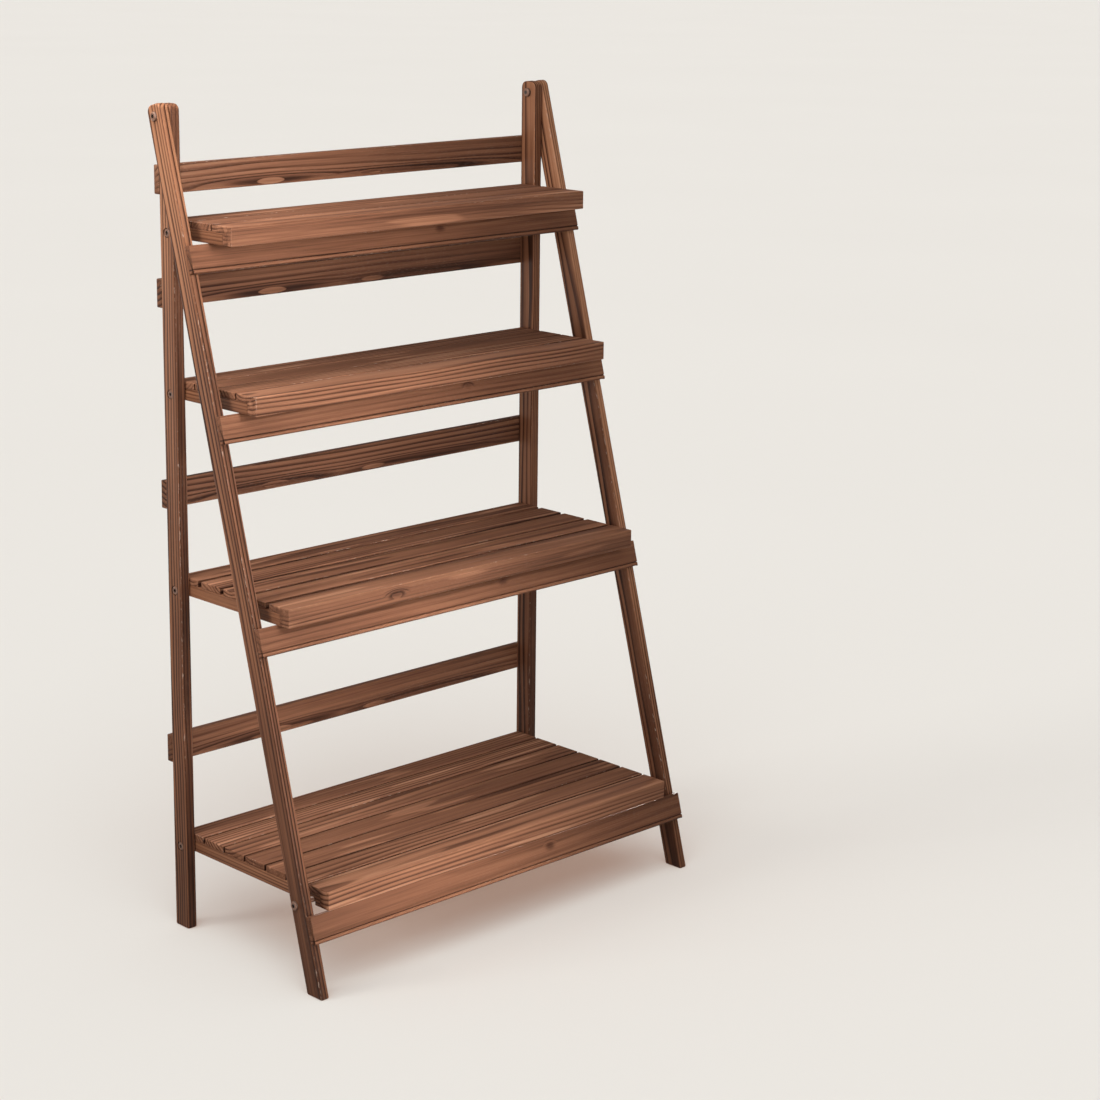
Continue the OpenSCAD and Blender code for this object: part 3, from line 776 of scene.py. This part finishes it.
for _, y, z in [top_bolt, *shelf_bolts, (0.0, catch_y, catch_z)]:
    level = pen.node("ShaderNodeVectorMath", {"operation": "MULTIPLY"},
                     {0: where, 1: (0.0, 1.0, 1.0)})
    reach = pen.node("ShaderNodeVectorMath", {"operation": "DISTANCE"},
                     {0: level, 1: (0.0, y, z)}, 1)
    from_axis = reach if from_axis is None else pen.maths("MINIMUM", from_axis, reach)
# Painted shade: dark in the socket, and a dark ring at the head's rim as a painted shadow.
painted_shade = (from_axis.rise(*SOCKET_SHADE_REACH, 1.0, 0.0)
          + RIM_SHADOW_SHARE * from_axis.rise(*RIM_SHADOW_REACH))
tint = pen.node("ShaderNodeValToRGB", {"stops": BRONZE_TINTS},
                {"Fac": blotch + 0.4 * rubbed}, "Color")
tint = blended(pen, painted_shade, tint, SOCKET_AND_RIM_SHADE)
surface(pen, {"Base Color": tint, "Metallic": METAL_SHARE,
              "Roughness": DULLNESS + 0.2 * blotch,
              "Normal": pen.node("ShaderNodeBump", {},
                                 {"Height": pitting, "Strength": PITTING_BUMP,
                                  "Distance": PITTING_DEPTH}, "Normal")})


def lathed(name, profile, sides=32):
    """A solid turned round X from a profile of (x, radius) points."""
    mesh = bpy.data.meshes.new(name)
    work = bmesh.new()
    line = [work.verts.new((x, 0.0, r)) for x, r in profile]
    edges = [work.edges.new(pair) for pair in zip(line, line[1:])]
    bmesh.ops.spin(work, geom=line + edges, cent=(0, 0, 0), axis=(1, 0, 0), angle=math.tau,
                   steps=sides, use_merge=True)
    bmesh.ops.remove_doubles(work, verts=work.verts, dist=1e-6)
    bmesh.ops.recalc_face_normals(work, faces=work.faces)
    work.to_mesh(mesh)
    work.free()
    made = bpy.data.objects.new(name, mesh)
    bpy.context.scene.collection.objects.link(made)
    return made


CROWN_HIGH, CROWN_WIDE, DOME_WIDE = 0.0016, 0.0019, 0.0024
RIM, SHANK_BEVEL, DISH, DISH_RADIUS, DISH_FLOOR = 0.0003, 0.0005, 0.0002, 0.0028, 0.0025
NUT_GAP, NUT_WALL, ABOVE_HEAD = 0.0003, 0.0015, 0.01


def quarter_round(high, wide):
    """Steps over a quarter of an ellipse, as distances below its top and inside its rim."""
    return [(high * (1 - math.sin(a)), wide * (1 - math.cos(a)))
            for a in (math.radians(t) for t in (0, 20, 40, 60, 80, 90))]


def button_bolt(shank_radius, shank):
    """A bolt with its head's seat at X 0 and its shank towards -X."""
    crown = [(HEAD_HIGH - down, HEAD_RADIUS - inside)
             for down, inside in quarter_round(CROWN_HIGH, CROWN_WIDE)]
    bolt = lathed("bolt_pattern", [(-shank, 0.0), (-shank, shank_radius - SHANK_BEVEL),
                                   (-shank + SHANK_BEVEL, shank_radius), (0.0, shank_radius),
                                   (0.0, HEAD_RADIUS - RIM), (RIM, HEAD_RADIUS)]
                  + crown + [(HEAD_HIGH, DISH_RADIUS), (HEAD_HIGH - DISH, DISH_FLOOR),
                             (HEAD_HIGH - DISH, 0.0)])
    tool = drill(bolt, SOCKET_FLOOR, ABOVE_HEAD, 0.0, 0.0, SOCKET_RADIUS, 6)
    return bolt, tool


def cap_nut(length):
    """A cap nut with its open face at X 0 and its dome towards -X."""
    dome = [(-length + down, HEAD_RADIUS - inside)
            for down, inside in quarter_round(CROWN_HIGH, DOME_WIDE)]
    hollow = -length + NUT_WALL
    return lathed("nut_pattern", [(hollow, 0.0), (hollow, SHANK_HOLE), (0.0, SHANK_HOLE),
                                  (0.0, HEAD_RADIUS - RIM), (-RIM, HEAD_RADIUS)]
                  + dome + [(-length, 0.0)])


fasteners, pen, port = tree_with("set_of_fasteners", {"Pattern": "Object", "Seed": "Int",
                                                      "Finish": "Material"})
shape = pen.node("GeometryNodeObjectInfo", {}, {"Object": port["Pattern"]}, "Geometry")
here = pen.node("GeometryNodeInputPosition", {}, {})
on_left = pen.maths("LESS_THAN", pen.node("ShaderNodeSeparateXYZ", {}, {0: here}, 0), 0.0)
spin = pen.node("FunctionNodeRandomValue", {"data_type": "FLOAT"},
                {2: -1.0, 3: 1.0, "Seed": port["Seed"]}, 1)
facing = pen.node("ShaderNodeCombineXYZ", {}, {0: spin, 2: math.pi * on_left})
row = pen.node("GeometryNodeInstanceOnPoints", {},
               {"Points": port["Places"], "Instance": shape, "Rotation": facing})
close_tree(pen, row, port["Finish"])


def fasten(name, node, pattern, tools, points, body, seed):
    """Fills the points on both sides with copies of a pattern, as one piece."""
    row = places_at("places", [(s * x, y, z) for s in (-1, 1) for x, y, z in points])
    set_inputs(row, fasteners, {"Pattern": pattern, "Seed": seed, "Finish": bronze})
    finished(name, row, body, [node], [pattern, *tools])


LEG_FACE_OUT, BEARER_FACE_IN = leg_high.x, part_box("shelf_1_bearer_right")[0].x
TOP_NUT, SHELF_NUT, HEAD_SINK, CATCH_SHORT = 0.004, 0.007, 0.0002, 0.002
PIVOT_RADIUS, CATCH_RADIUS = 0.003, 0.0025
top_nut_seat, shelf_nut_seat = POST_FACE_IN - NUT_GAP, BEARER_FACE_IN - NUT_GAP
shelf_seat = POST_FACE_OUT - HEAD_HIGH - HEAD_SINK
shelf_places = [(bolt.y, bolt.z) for bolt in shelf_bolts]

pattern, tool = button_bolt(PIVOT_RADIUS, LEG_FACE_OUT - top_nut_seat + TOP_NUT - NUT_WALL)
fasten("top_bolts", "top_pivot_bolts", pattern, [tool],
       [(LEG_FACE_OUT, top_bolt.y, top_bolt.z)], "front_frame", 5)
pattern, tool = button_bolt(PIVOT_RADIUS, shelf_seat - shelf_nut_seat + SHELF_NUT - NUT_WALL)
fasten("shelf_bolts", "shelf_pivot_bolts", pattern, [tool],
       [(shelf_seat, y, z) for y, z in shelf_places], "rear_frame", 6)
pattern, tool = button_bolt(CATCH_RADIUS, LEG_FACE_OUT - BEARER_FACE_IN - CATCH_SHORT)
fasten("catch_bolts_low", "catch_bolts", pattern, [tool],
       [(LEG_FACE_OUT, catch_y, catch_z)], "front_frame", 7)
fasten("top_nuts", "top_pivot_nuts", cap_nut(TOP_NUT), [],
       [(top_nut_seat, top_bolt.y, top_bolt.z)], "front_frame", 8)
fasten("shelf_nuts", "shelf_pivot_nuts", cap_nut(SHELF_NUT), [],
       [(shelf_nut_seat, y, z) for y, z in shelf_places], "rear_frame", 9)
